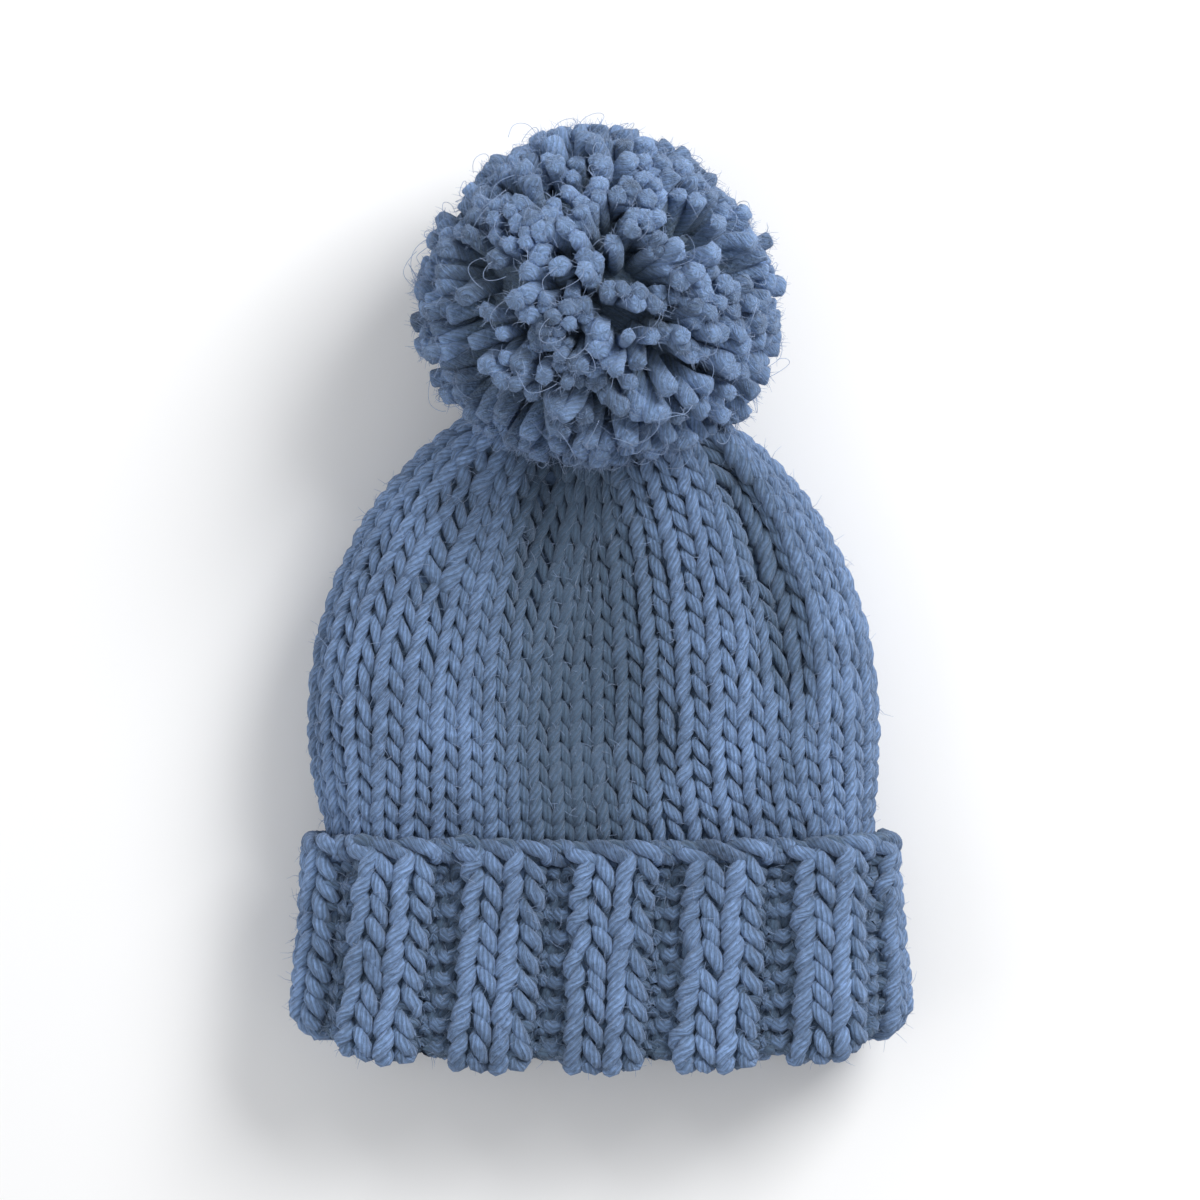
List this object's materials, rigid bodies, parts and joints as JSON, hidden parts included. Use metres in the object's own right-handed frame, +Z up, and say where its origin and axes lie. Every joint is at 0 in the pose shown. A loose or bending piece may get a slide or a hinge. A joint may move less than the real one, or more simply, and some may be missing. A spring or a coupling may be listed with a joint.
{
  "type": "bobble hat",
  "caption": "Chunky hand-knitted bobble hat with a stocking-stitch crown, a turned-up ribbed cuff and a yarn pompom, lying flat.",
  "frame": {"origin": "on the surface that the hat lies on, at the middle of its length and width", "axes": "+Y from the rim to the bobble, +X across the hat, +Z up through its front"},
  "size_m": [0.2187, 0.334, 0.1198],
  "materials": {
    "knit_wool": "matte plied wool, knitted",
    "bobble_yarn": "matte plied wool, cut ends"
  },
  "bodies": {
    "root": {"crown": "knit_wool", "cuff": "knit_wool", "pompom": "bobble_yarn", "pompom_tie": "bobble_yarn"}
  },
  "joints": []
}
